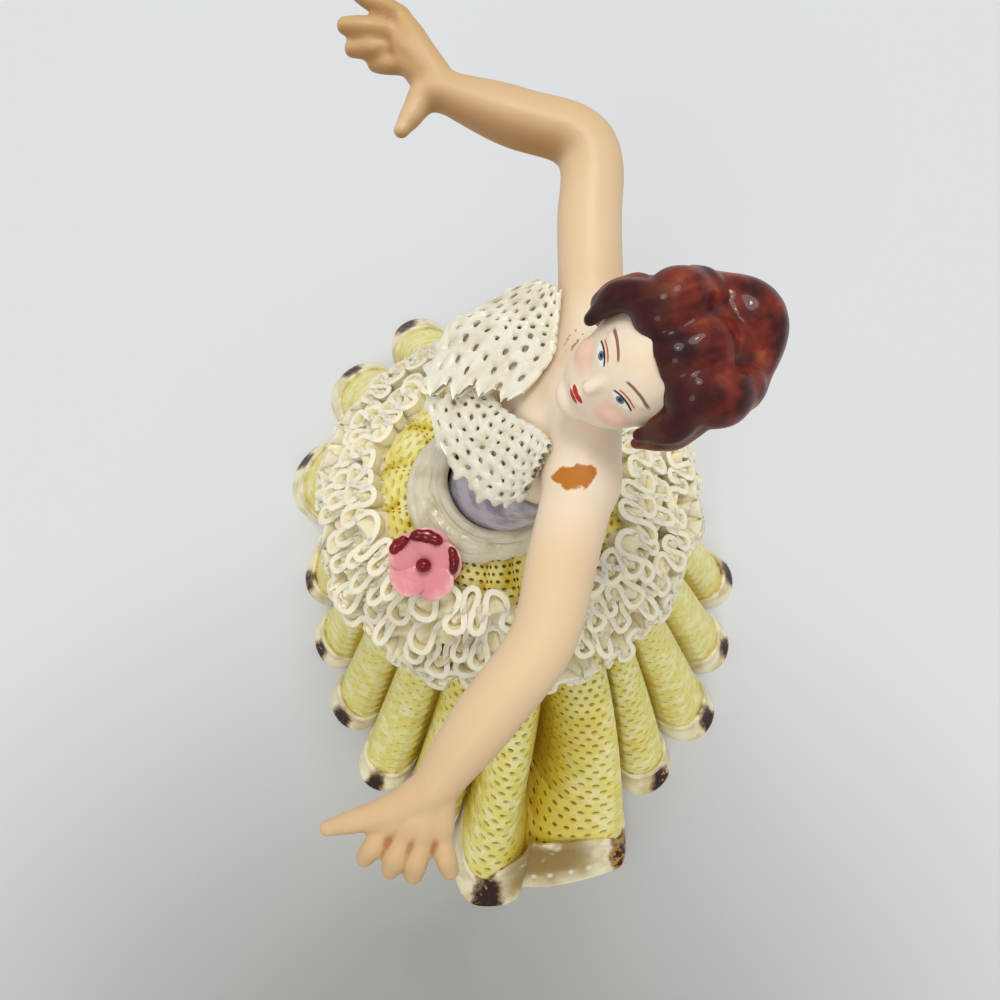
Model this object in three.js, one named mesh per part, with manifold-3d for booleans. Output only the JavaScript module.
// A Dresden lace dancer: a small glazed porcelain figure, leaning back with both arms out, in a fluted
// skirt of fired lace. Millimetres, +Z up. The dancer faces -X and the left arm reaches towards -Y.
// While the pieces are made, the skirt's own axis is x = y = 0 and the hem stands at z = 0; the last
// lines put the origin on the ground under the middle of the whole piece.
import * as THREE from "three";
import { mergeVertices } from "three/addons/utils/BufferGeometryUtils.js";
import Module from "manifold-3d";

const at = (x, y, z) => new THREE.Vector3(x, y, z);

// Joint between two fired pieces
const clearance = 0.3;

// Torso, from the hips inside the skirt to the root of the neck: centre, half width, half depth
const waistHeight = 58.5;
const waistHalfWidth = 5.4;
const waistHalfDepth = 5.1;
const waistCentre = at(-2, -5.2, waistHeight);
const shoulderRight = at(8.6, 6.4, 81.6);
const shoulderLeft = at(7.2, -12, 79.8);
const hipDepth = 8.5;
const hipHalfWidth = 8.2;
const chestHalfWidth = 8.2;
const chestHalfDepth = 5.9;
const bustRadius = 4.3;
const bustForward = 0.6;
const shoulderRadius = 3.9;
const torsoSides = 18;

// Arms: joints from shoulder to wrist, with a radius at each joint
const elbowRight = at(8.2, 23.8, 86);
const wristRight = at(-6.2, 29.2, 88);
const elbowLeft = at(3.2, -27.2, 74.5);
const wristLeft = at(-7.3, -41.6, 69);
const upperArmRadius = 3.6;
const leftArmFullness = 1.12;
const elbowRadius = 3.45;
const forearmRadius = 3.35;
const wristRadius = 2.35;
const armSides = 10;

// Hands: palm centre and fingertips, thumb first
const palmRight = at(-9.4, 31.2, 88.8);
const fingertipsRight = [
  at(-11.6, 25, 87.6),
  at(-16.6, 38.8, 91.5),
  at(-17.6, 36, 90),
  at(-17.1, 34.2, 88.6),
  at(-14.4, 32, 87.4),
];
const palmLeft = at(-9.8, -44.9, 67.6);
const fingertipsLeft = [
  at(-19, -44.8, 67),
  at(-14.8, -48.6, 65),
  at(-11.9, -50, 64.6),
  at(-9.6, -50.8, 64.6),
  at(-6, -50, 65.4),
];
const fingerRadius = 1.1;
const thumbRadius = 1.2;
const palmHalfLength = 4.1;
const palmHalfWidth = 3.5;
const palmHalfThickness = 1.7;
const knuckleLift = 0.35;
const fingerSides = 6;

// Head: a small adult head on common proportions, thrown back and turned to the dancer's left
const headCentre = at(13.4, -4.9, 92.2);
const headUp = at(0.63, 0, 0.776);
const headForward = at(-0.671, -0.509, 0.545);
const headHeight = 15.3;
const neckRadius = 3.1;
const hairThickness = 2.2;
const lockRadius = 2.3;
const lockSides = 8;
// Middle of each lock over the crown, in shares of the head's height to the dancer's left
const crownLocks = [-0.26, 0.05, 0.34];

// Lace skirt: a hollow fluted shell, open below
const skirtWall = 1.2;
const skirtAxisAtRuffle = at(0.5, 0.5, 37);
const skirtTopBelowWaist = 1.1;
const skirtTopHeight = waistHeight - skirtTopBelowWaist;
const ruffleHeight = 37;
const skirtRadiusAtRuffle = 20.5;
const domeRoundness = 0.62;
const foldDepthAtHem = 0.24;
const foldDepthAtRuffle = 0.12;
const foldRoundness = 0.7;
const foldBulge = 0.055;
const stepsPerFold = 6;
// Each hand-laid fold of the hem: bearing in degrees round the skirt's axis, reach of its tip, and depth of
// the valley after it, as a share of the others'
const hemFolds = [
  [1, 37.2],
  [20, 35],
  [40, 37],
  [58, 41],
  [76, 45],
  [93, 48.5],
  [109, 52],
  [124.5, 48],
  [148, 41],
  [177.5, 32.8],
  [199.5, 32.2],
  [220, 34.5],
  [237, 38.8],
  [252, 44.5],
  [265.5, 50.5, 0.4],
  [290.5, 48],
  [305.5, 40.4],
  [323.5, 39.7],
  [342, 37.4],
];

// Hip ruffles: two gathered lace frills round the skirt, height of each one's root and its reach out
const ruffleThickness = 1.1;
const ruffleWaves = 24;
const ruffleStepsPerWave = 4;
const ruffleWaveHeight = 1.3;
const ruffleStandOff = clearance + 0.5;
const upperRuffle = { rootHeight: 48, width: 4.6, rise: 0.4, share: 0.5 };
const lowerRuffle = { rootHeight: 36.6, width: 5.4, rise: 0.6, share: 0 };

// Lace collar: two lobes that meet in a V on the chest. A lobe's points are shares: up the torso from
// waist to shoulders, forward in reaches of the bust, and to the dancer's left in half widths of the chest
const collarThickness = 0.9;
const collarWaveHeight = 0.7;
const collarWaves = 2.5;
const collarSteps = 12;
const collarRows = 3;
const rightLobe = {
  inner: [[1.14, 0.7, -1.04], [0.93, 0.82, -0.57], [0.69, 1.1, -0.26]],
  outer: [[1.16, 0.82, -1.12], [0.96, 1.3, -1.26], [0.71, 1.76, -1.01], [0.52, 1.77, -0.42]],
};
const leftLobe = {
  inner: [[0.68, 1.1, -0.18], [0.83, 0.82, 0.35], [0.98, 0.5, 0.9]],
  outer: [[0.5, 1.76, -0.28], [0.47, 1.42, 0.38], [0.54, 0.94, 1.08], [0.84, 0.5, 1.38]],
};

// Sash: a ribbon of lace laid round the waist, sloping outwards and standing a little off the belly
const sashWidth = 2.2;
const sashExtraAtFront = 1.2;
const sashRootLift = 1.96;
const sashDrop = 1.4;
const sashThickness = 1;
const sashStandOff = 0.6;
const sashForward = 1.1;
const sashFlare = 0.3;
const sashSides = 36;

// Flower on the skirt below the sash: its root is measured down from the skirt's top
const flowerRadius = 4.5;
const petalCount = 5;
const petalThickness = 1.5;
const flowerBeadRadius = 1.1;
const calyxRadius = 1.6;
const flowerBearing = 227;
const flowerDrop = 1.9;
const flowerFacing = at(-0.05, -0.38, 0.92);

const wasm = await Module();
wasm.setup();

const finish = (color, roughness) => new THREE.MeshStandardMaterial({ color, roughness, metalness: 0 });
const skinGlaze = finish(0xe8c8a0, 0.2);
const yellowLace = finish(0xdcd890, 0.45);
const creamLace = finish(0xe9e4cf, 0.4);
const whiteLace = finish(0xefece0, 0.35);
const pinkGlaze = finish(0xe0909c, 0.25);

// A geometry of triangles from a list of points and a list of corner numbers
function geometryOf(points, corners) {
  const geometry = new THREE.BufferGeometry();
  geometry.setAttribute("position", new THREE.Float32BufferAttribute(points.flatMap((p) => p.toArray()), 3));
  geometry.setIndex(corners);
  return geometry;
}

// The two triangles of each four-sided patch between neighbouring rings, counted from ring `first`
function band(corners, first, second, count, outward = true) {
  for (let j = 0; j < count; j++) {
    const k = (j + 1) % count;
    const [a, b, c, d] = [first + j, first + k, second + k, second + j];
    if (outward) corners.push(a, b, c, a, c, d);
    else corners.push(a, c, b, a, d, c);
  }
}

// A closed skin over rings of points that run from one end to the other, ends closed to a point
function skin(rings, startTip, endTip) {
  const count = rings[0].length;
  const points = [...rings.flat(), startTip, endTip];
  const corners = [];
  for (let i = 0; i + 1 < rings.length; i++) band(corners, i * count, (i + 1) * count, count);
  const last = (rings.length - 1) * count;
  for (let j = 0; j < count; j++) {
    const k = (j + 1) % count;
    corners.push(points.length - 2, k, j);
    corners.push(points.length - 1, last + j, last + k);
  }
  return geometryOf(points, corners);
}

// A hollow shell with the same number of points in every ring, joined by a rim at each end
function shell(outer, inner) {
  const count = outer[0].length;
  const points = [...outer.flat(), ...inner.flat()];
  const innerStart = outer.length * count;
  const corners = [];
  for (let i = 0; i + 1 < outer.length; i++) band(corners, i * count, (i + 1) * count, count);
  for (let i = 0; i + 1 < inner.length; i++)
    band(corners, innerStart + i * count, innerStart + (i + 1) * count, count, false);
  band(corners, 0, innerStart, count, false);
  band(corners, (outer.length - 1) * count, innerStart + (inner.length - 1) * count, count);
  return geometryOf(points, corners);
}

// A thin sheet of even thickness over a surface point(u, v), u and v from 0 to 1
function sheet(point, across, along, thickness) {
  const small = 1e-3;
  const top = [];
  const under = [];
  for (let i = 0; i <= across; i++)
    for (let j = 0; j <= along; j++) {
      const [u, w] = [i / across, j / along];
      const du = point(u + small, w).sub(point(u - small, w));
      const dw = point(u, w + small).sub(point(u, w - small));
      const half = du.cross(dw).setLength(thickness / 2);
      top.push(point(u, w).add(half));
      under.push(point(u, w).sub(half));
    }
  const number = (i, j) => i * (along + 1) + j;
  const offset = top.length;
  const corners = [];
  for (let i = 0; i < across; i++)
    for (let j = 0; j < along; j++) {
      const [a, b, c, d] = [number(i, j), number(i + 1, j), number(i + 1, j + 1), number(i, j + 1)];
      corners.push(a, b, c, a, c, d, offset + a, offset + c, offset + b, offset + a, offset + d, offset + c);
    }
  const edge = [];
  for (let i = 0; i < across; i++) edge.push(number(i, 0));
  for (let j = 0; j < along; j++) edge.push(number(across, j));
  for (let i = across; i > 0; i--) edge.push(number(i, along));
  for (let j = along; j > 0; j--) edge.push(number(0, j));
  edge.forEach((a, i) => {
    const b = edge[(i + 1) % edge.length];
    corners.push(a, offset + b, b, a, offset + a, offset + b);
  });
  return geometryOf([...top, ...under], corners);
}

// An ellipsoid with its half sizes along a frame's forward, left and up directions
function ellipsoid(centre, frame, halfSizes, sides = 16, rows = 10) {
  const turn = new THREE.Matrix4().makeBasis(frame.forward, frame.left, frame.up);
  const geometry = new THREE.SphereGeometry(1, sides, rows).rotateX(Math.PI / 2);
  geometry.deleteAttribute("normal");
  geometry.deleteAttribute("uv");
  return geometry.scale(...halfSizes).applyMatrix4(turn).translate(...centre.toArray());
}

function ball(centre, frame, radius) {
  return ellipsoid(centre, frame, [radius, radius, radius], 10, 8);
}

// A right-handed frame from an up direction and a rough forward direction
function frameFrom(up, roughForward) {
  const axis = up.clone().normalize();
  const left = axis.clone().cross(roughForward).normalize();
  return { up: axis, left, forward: left.clone().cross(axis) };
}

// A rounded limb through its joints, with a radius at each joint and one bevel ring on each round end
const endBevel = THREE.MathUtils.degToRad(50);

function limb(joints, radii, sides, stepsPerSpan) {
  const curve = new THREE.CatmullRomCurve3(joints);
  const steps = (joints.length - 1) * stepsPerSpan;
  const radiusAt = (t) => {
    const span = Math.min(Math.floor(t * (radii.length - 1)), radii.length - 2);
    const blend = THREE.MathUtils.smoothstep(t * (radii.length - 1) - span, 0, 1);
    return THREE.MathUtils.lerp(radii[span], radii[span + 1], blend);
  };
  const stations = [
    [0, -Math.sin(endBevel), Math.cos(endBevel)],
    ...Array.from({ length: steps + 1 }, (_, i) => [i / steps, 0, 1]),
    [1, Math.sin(endBevel), Math.cos(endBevel)],
  ];
  let side = at(0.3, 0.2, 1);
  const place = (t, ahead) => curve.getPoint(t).addScaledVector(curve.getTangent(t), ahead * radiusAt(t));
  const rings = stations.map(([t, ahead, narrow]) => {
    const along = curve.getTangent(t);
    side = side.clone().addScaledVector(along, -side.dot(along)).normalize();
    const other = along.clone().cross(side);
    const centre = place(t, ahead);
    return Array.from({ length: sides }, (_, j) => {
      const a = (2 * Math.PI * j) / sides;
      return centre
        .clone()
        .addScaledVector(side, Math.cos(a) * radiusAt(t) * narrow)
        .addScaledVector(other, Math.sin(a) * radiusAt(t) * narrow);
    });
  });
  return skin(rings, place(0, -1), place(1, 1));
}

// The closed solid of a geometry, ready to be joined or cut
function solidOf(geometry) {
  const merged = mergeVertices(geometry, 1e-4);
  const vertProperties = new Float32Array(merged.attributes.position.array);
  const triVerts = new Uint32Array(merged.index.array);
  return new wasm.Manifold(new wasm.Mesh({ numProp: 3, vertProperties, triVerts }));
}

// One solid from geometries that grow into each other
function join(geometries) {
  return geometries.map(solidOf).reduce((whole, piece) => whole.add(piece));
}

function geometryOfSolid(solid) {
  const mesh = solid.getMesh();
  const geometry = new THREE.BufferGeometry();
  geometry.setAttribute("position", new THREE.BufferAttribute(mesh.vertProperties, 3));
  geometry.setIndex(new THREE.BufferAttribute(mesh.triVerts, 1));
  return geometry;
}

function named(name, geometry, material) {
  const mesh = new THREE.Mesh(geometry, material);
  mesh.name = name;
  return mesh;
}

// Torso and its frame
const shoulderMiddle = shoulderRight.clone().lerp(shoulderLeft, 0.5);
const torsoFrame = frameFrom(
  shoulderMiddle.clone().sub(waistCentre),
  shoulderLeft.clone().sub(shoulderRight).cross(at(0, 0, 1)),
);
const alongTorso = (share) => waistCentre.clone().lerp(shoulderMiddle, share);
const onTorso = (share, forward, left) =>
  alongTorso(share).addScaledVector(torsoFrame.forward, forward).addScaledVector(torsoFrame.left, left);
const belowWaist = (depth) => waistCentre.clone().add(at(0, 0, -depth * hipDepth));
const torsoRings = [
  [belowWaist(1), hipHalfWidth * 0.82, hipHalfWidth * 0.74],
  [belowWaist(0.6), hipHalfWidth, hipHalfWidth * 0.88],
  [belowWaist(0.2), waistHalfWidth, waistHalfDepth],
  [waistCentre, waistHalfWidth, waistHalfDepth],
  [alongTorso(0.26), chestHalfWidth * 0.84, chestHalfDepth * 0.95],
  [alongTorso(0.55), chestHalfWidth * 0.98, chestHalfDepth],
  [alongTorso(0.8), chestHalfWidth * 1.05, chestHalfDepth * 0.86],
  [alongTorso(0.97), chestHalfWidth * 0.9, chestHalfDepth * 0.64],
  [alongTorso(1.1), neckRadius * 1.5, neckRadius * 1.2],
];

function torsoRing([centre, halfWidth, halfDepth]) {
  const along = centre.z > waistHeight ? torsoFrame.up : at(0, 0, 1);
  const frame = frameFrom(along, torsoFrame.forward);
  return Array.from({ length: torsoSides }, (_, j) => {
    const a = (2 * Math.PI * j) / torsoSides;
    return centre
      .clone()
      .addScaledVector(frame.forward, Math.cos(a) * halfDepth)
      .addScaledVector(frame.left, Math.sin(a) * halfWidth);
  });
}

function makeTorso() {
  const trunk = skin(torsoRings.map(torsoRing), belowWaist(1.15), alongTorso(1.16));
  const bust = [-1, 1].map((side) =>
    ball(onTorso(0.56, chestHalfDepth * bustForward, side * chestHalfWidth * 0.42), torsoFrame, bustRadius),
  );
  const shoulders = [shoulderRight, shoulderLeft].map((joint, i) => {
    const root = onTorso(1, 0, (i - 0.5) * chestHalfWidth);
    return limb([root, joint], [shoulderRadius, shoulderRadius * (i ? leftArmFullness : 1)], armSides, 1);
  });
  return [trunk, ...bust, ...shoulders];
}

// Arms and hands
function makeHand(wrist, palm, fingertips) {
  const reach = palm.clone().sub(wrist).normalize();
  const spread = fingertips[1].clone().sub(fingertips[4]).normalize();
  const frame = frameFrom(reach.clone().cross(spread), reach);
  const knuckle = (share) =>
    palm
      .clone()
      .addScaledVector(frame.forward, palmHalfLength * 0.55)
      .addScaledVector(spread, (0.5 - share) * 1.5 * palmHalfWidth);
  const fingers = fingertips.slice(1).map((tip, i) => {
    const root = knuckle(i / 3);
    const middle = root.clone().lerp(tip, 0.55).addScaledVector(frame.up, knuckleLift);
    return limb([root, middle, tip], [1.1, 1, 0.72].map((share) => share * fingerRadius), fingerSides, 1);
  });
  const thumbRoot = palm.clone().addScaledVector(frame.forward, -palmHalfLength * 0.35);
  const thumbMiddle = thumbRoot.clone().lerp(fingertips[0], 0.6);
  const thumbRadii = [1.35, 1.1, 0.7].map((share) => share * thumbRadius);
  const thumb = limb([thumbRoot, thumbMiddle, fingertips[0]], thumbRadii, fingerSides, 1);
  const palmSolid = ellipsoid(palm, frame, [palmHalfLength, palmHalfWidth, palmHalfThickness], 12, 6);
  return [palmSolid, thumb, ...fingers];
}

function makeArm(shoulder, elbow, wrist, palm, fingertips, fullness) {
  const upper = shoulder.clone().lerp(elbow, 0.5);
  const lower = elbow.clone().lerp(wrist, 0.4);
  const hand = wrist.clone().lerp(palm, 0.35);
  const full = [upperArmRadius, upperArmRadius, elbowRadius, forearmRadius].map((r) => r * fullness);
  const radii = [...full, wristRadius, wristRadius];
  const arm = limb([shoulder, upper, elbow, lower, wrist, hand], radii, armSides, 2);
  return [arm, ...makeHand(wrist, palm, fingertips)];
}

// Head and hair, placed by shares of the head's height forward, to the dancer's left and up
const headFrame = frameFrom(headUp, headForward);
const inHead = (forward, left, up) =>
  headCentre
    .clone()
    .addScaledVector(headFrame.forward, forward * headHeight)
    .addScaledVector(headFrame.left, left * headHeight)
    .addScaledVector(headFrame.up, up * headHeight);
const headShare = (...shares) => shares.map((share) => share * headHeight);

function makeHead() {
  const neckTop = inHead(-0.08, 0, -0.2);
  const neckRadii = [1.3, 1, 1].map((share) => share * neckRadius);
  const neck = limb([alongTorso(0.98), alongTorso(1.2), neckTop], neckRadii, armSides, 2);
  const skull = ellipsoid(inHead(0, 0, 0.06), headFrame, headShare(0.43, 0.365, 0.44), 14, 10);
  const face = ellipsoid(inHead(0.1, 0, -0.14), headFrame, headShare(0.3, 0.3, 0.36), 14, 10);
  const chin = ellipsoid(inHead(0.27, 0, -0.4), headFrame, headShare(0.1, 0.13, 0.1), 8, 6);
  const nose = limb([inHead(0.38, 0, 0.06), inHead(0.44, 0, -0.1)], headShare(0.03, 0.05), fingerSides, 1);
  return [neck, skull, face, chin, nose];
}

// The hair: a full cap, locks that roll back from the brow, a roll at the back and a lock by each ear,
// with the face left open
function makeHair() {
  const thick = hairThickness / headHeight;
  const capSize = headShare(0.4 + thick, 0.38 + thick, 0.4 + thick);
  const cap = ellipsoid(inHead(-0.13, 0.02, 0.07), headFrame, capSize, 16, 12);
  const lock = (joints, shares, spanSteps) => {
    const radii = shares.map((share) => share * lockRadius);
    return limb(joints, radii, lockSides, spanSteps);
  };
  const rollJoints = [inHead(-0.46, -0.34, 0.06), inHead(-0.58, 0.04, 0.16), inHead(-0.46, 0.38, 0.06)];
  const roll = lock(rollJoints, [0.85, 1.2, 0.85], 2);
  const crown = crownLocks.map((side) => {
    const brow = [inHead(0.24, side * 0.8, 0.34), inHead(0.02, side * 1.05, 0.46)];
    const nape = [inHead(-0.3, side * 1.1, 0.41), inHead(-0.5, side, 0.14)];
    return lock([...brow, ...nape], [0.9, 1.2, 1.15, 0.8], 2);
  });
  const earLocks = [-1, 1].map((side) => {
    const temple = inHead(0.18, side * 0.4, 0.26);
    const joints = [temple, inHead(0.14, side * 0.46, 0.02), inHead(-0.1, side * 0.42, -0.22)];
    return lock(joints, [0.7, 0.9, 0.7], 1);
  });
  const openFace = ellipsoid(inHead(0.6, 0, -0.16), headFrame, headShare(0.52, 0.33, 0.5), 16, 10);
  return join([cap, roll, ...crown, ...earLocks]).subtract(solidOf(openFace));
}

function makeFigure() {
  const body = join([
    ...makeTorso(),
    ...makeHead(),
    ...makeArm(shoulderRight, elbowRight, wristRight, palmRight, fingertipsRight, 1),
    ...makeArm(shoulderLeft, elbowLeft, wristLeft, palmLeft, fingertipsLeft, leftArmFullness),
  ]);
  return geometryOfSolid(body.add(makeHair()));
}

// Place of a step round the hem: its bearing, how near it is to a fold's crest, and the hem's reach there
const foldCount = hemFolds.length;
const radians = THREE.MathUtils.degToRad;

function hemStep(step) {
  const turn = (((step / stepsPerFold) % foldCount) + foldCount) % foldCount;
  const fold = Math.floor(turn);
  const phase = turn - fold;
  const [bearing, reach, valleyAfter = 1] = hemFolds[fold];
  const direction = phase < 0.5 ? -1 : 1;
  const [nextBearing, nextReach, valleyBefore = 1] = hemFolds[(fold + direction + foldCount) % foldCount];
  const gap = ((nextBearing - bearing) * direction + 360) % 360;
  const spread = (phase - 0.5 - 2 * foldBulge * Math.sin(2 * Math.PI * phase)) * gap;
  const valley = direction > 0 ? valleyAfter : valleyBefore;
  const crest = 1 - valley * (1 - Math.sin(Math.PI * phase) ** foldRoundness);
  const crestReach = THREE.MathUtils.lerp((reach + nextReach) / 2, reach, crest);
  return { angle: radians(bearing + spread), crest, reach: crestReach };
}

// Distance from the waist's centre to a line that stands off the waist by a margin, at a bearing
function waistEdge(angle, margin) {
  const [depth, width] = [waistHalfDepth + margin, waistHalfWidth + margin];
  return 1 / Math.hypot(Math.cos(angle) / depth, Math.sin(angle) / width);
}

// A point on the skirt: flutes that run straight from the ruffles to the hem, and a dome above them
function skirtPoint(step, height, inset = 0) {
  const { angle, crest, reach } = hemStep(step);
  const outward = at(Math.cos(angle), Math.sin(angle), 0);
  if (height <= ruffleHeight) {
    const drop = 1 - height / ruffleHeight;
    const depth = THREE.MathUtils.lerp(foldDepthAtRuffle, foldDepthAtHem, drop);
    const radius = THREE.MathUtils.lerp(skirtRadiusAtRuffle, reach, drop) * (1 - depth * (1 - crest));
    const centre = skirtAxisAtRuffle.clone().multiplyScalar(1 - drop).setZ(height);
    return centre.addScaledVector(outward, radius - inset);
  }
  const rise = (height - ruffleHeight) / (skirtTopHeight - ruffleHeight);
  const full = skirtRadiusAtRuffle * (1 - foldDepthAtRuffle * (1 - rise) * (1 - crest));
  const narrow = waistEdge(angle, skirtWall + clearance);
  const radius = THREE.MathUtils.lerp(narrow, full, (1 - rise ** 2) ** domeRoundness);
  const centre = skirtAxisAtRuffle.clone().lerp(waistCentre, rise).setZ(height);
  return centre.addScaledVector(outward, radius - inset);
}

function makeSkirt() {
  const ring = (height, inset) =>
    Array.from({ length: foldCount * stepsPerFold }, (_, step) => skirtPoint(step, height, inset));
  const dome = (share) => THREE.MathUtils.lerp(ruffleHeight, skirtTopHeight, share);
  const heights = [0, ruffleHeight / 2, ruffleHeight, dome(0.45), dome(0.75), dome(0.92), dome(1)];
  const innerHeights = [0, ruffleHeight, dome(0.5), dome(0.85), dome(1)];
  return shell(
    heights.map((height) => ring(height, 0)),
    innerHeights.map((height) => ring(height, skirtWall)),
  );
}

// A frill that stands out from the skirt, rooted at a height and waving more towards its free edge
function makeRuffle({ rootHeight, width, rise, share }) {
  const count = ruffleWaves * ruffleStepsPerWave;
  const edge = (reach, lift) =>
    Array.from({ length: count }, (_, j) => {
      const wave = Math.sin((2 * Math.PI * (j + share)) / ruffleStepsPerWave);
      const root = skirtPoint((j / count) * foldCount * stepsPerFold, rootHeight);
      const outward = root.clone().sub(skirtAxisAtRuffle).setZ(0).setLength(ruffleStandOff + reach * width);
      return root.add(outward).add(at(0, 0, lift + reach * (rise + wave * ruffleWaveHeight)));
    });
  return shell([edge(0, 0), edge(1, 0)], [edge(0, ruffleThickness), edge(1, ruffleThickness)]);
}

// A collar lobe between its inner edge at the neckline and its outer edge
function makeCollarLobe({ inner, outer }) {
  const bustReach = chestHalfDepth * bustForward + bustRadius;
  const place = ([share, forward, left]) => onTorso(share, forward * bustReach, left * chestHalfWidth);
  const innerCurve = new THREE.CatmullRomCurve3(inner.map(place));
  const outerCurve = new THREE.CatmullRomCurve3(outer.map(place));
  const surface = (u, w) => {
    const share = THREE.MathUtils.clamp(u, 0, 1);
    const wave = Math.sin(2 * Math.PI * collarWaves * u) * collarWaveHeight * w;
    return innerCurve.getPoint(share).lerp(outerCurve.getPoint(share), w).add(at(0, 0, wave));
  };
  return sheet(surface, collarSteps, collarRows, collarThickness);
}

// A point under the ribbon round the waist, an open cone that follows the torso's lean: share 0 is its
// edge by the waist, share 1 its free edge
function sashPoint(angle, share, lift = 0) {
  const front = Math.max(0, -Math.cos(angle));
  const height = skirtTopHeight + clearance + sashRootLift - share * sashDrop + lift;
  const aboveWaist = Math.max(0, height - waistHeight);
  const reach = share * (sashWidth + sashExtraAtFront * front);
  const radius = waistEdge(angle, sashStandOff + sashFlare * aboveWaist + sashForward * front + reach);
  const lean = torsoFrame.up.clone().divideScalar(torsoFrame.up.z).setZ(0);
  const centre = waistCentre.clone().setZ(height).addScaledVector(lean, aboveWaist);
  return centre.add(at(Math.cos(angle) * radius, Math.sin(angle) * radius, 0));
}

function makeSash() {
  const edge = (share, lift) =>
    Array.from({ length: sashSides }, (_, j) => sashPoint((2 * Math.PI * j) / sashSides, share, lift));
  return shell([edge(0, 0), edge(1, 0)], [edge(0, sashThickness), edge(1, sashThickness)]);
}

// Petals laid round a bead, on a calyx that stands on the skirt and lifts them clear of the sash
function makeFlower() {
  const steps = Array.from({ length: foldCount * stepsPerFold }, (_, step) => step);
  const turnFrom = (step) => Math.abs(Math.sin((hemStep(step).angle - radians(flowerBearing)) / 2));
  const nearest = steps.reduce((best, step) => (turnFrom(step) < turnFrom(best) ? step : best));
  const frame = frameFrom(flowerFacing, at(-1, 0, 0));
  const root = skirtPoint(nearest, skirtTopHeight - flowerDrop);
  const sashTop = sashPoint(radians(flowerBearing), 1, sashThickness).z;
  const stem = (sashTop + clearance + petalThickness / 2 - root.z) / frame.up.z;
  const centre = root.clone().addScaledVector(frame.up, stem);
  const petals = Array.from({ length: petalCount }, (_, i) => {
    const out = frame.forward.clone().applyAxisAngle(frame.up, (2 * Math.PI * (i + 0.5)) / petalCount);
    const petalFrame = frameFrom(frame.up.clone().addScaledVector(out, -0.3), out);
    const middle = centre.clone().addScaledVector(petalFrame.forward, flowerRadius * 0.54);
    const halfSizes = [flowerRadius * 0.48, flowerRadius * 0.44, petalThickness / 2];
    return ellipsoid(middle, petalFrame, halfSizes, 8, 4);
  });
  const bead = ball(centre.clone().addScaledVector(frame.up, petalThickness / 4), frame, flowerBeadRadius);
  const calyxHalf = (stem - clearance) / 2;
  const calyxCentre = centre.clone().addScaledVector(frame.up, -calyxHalf);
  const calyx = ellipsoid(calyxCentre, frame, [calyxRadius, calyxRadius, calyxHalf], 8, 6);
  return geometryOfSolid(join([...petals, bead, calyx]));
}

// Everything together, with the origin on the ground under the middle
const pieces = new THREE.Group();
pieces.add(
  named("figure", makeFigure(), skinGlaze),
  named("lace_skirt", makeSkirt(), yellowLace),
  named("upper_ruffle", makeRuffle(upperRuffle), creamLace),
  named("lower_ruffle", makeRuffle(lowerRuffle), creamLace),
  named("collar_right", makeCollarLobe(rightLobe), whiteLace),
  named("collar_left", makeCollarLobe(leftLobe), whiteLace),
  named("sash", makeSash(), creamLace),
  named("flower", makeFlower(), pinkGlaze),
);
const middle = new THREE.Box3().setFromObject(pieces, true).getCenter(at(0, 0, 0));
pieces.position.set(-middle.x, -middle.y, 0);
const figurine = new THREE.Group();
figurine.add(pieces);

export default figurine;
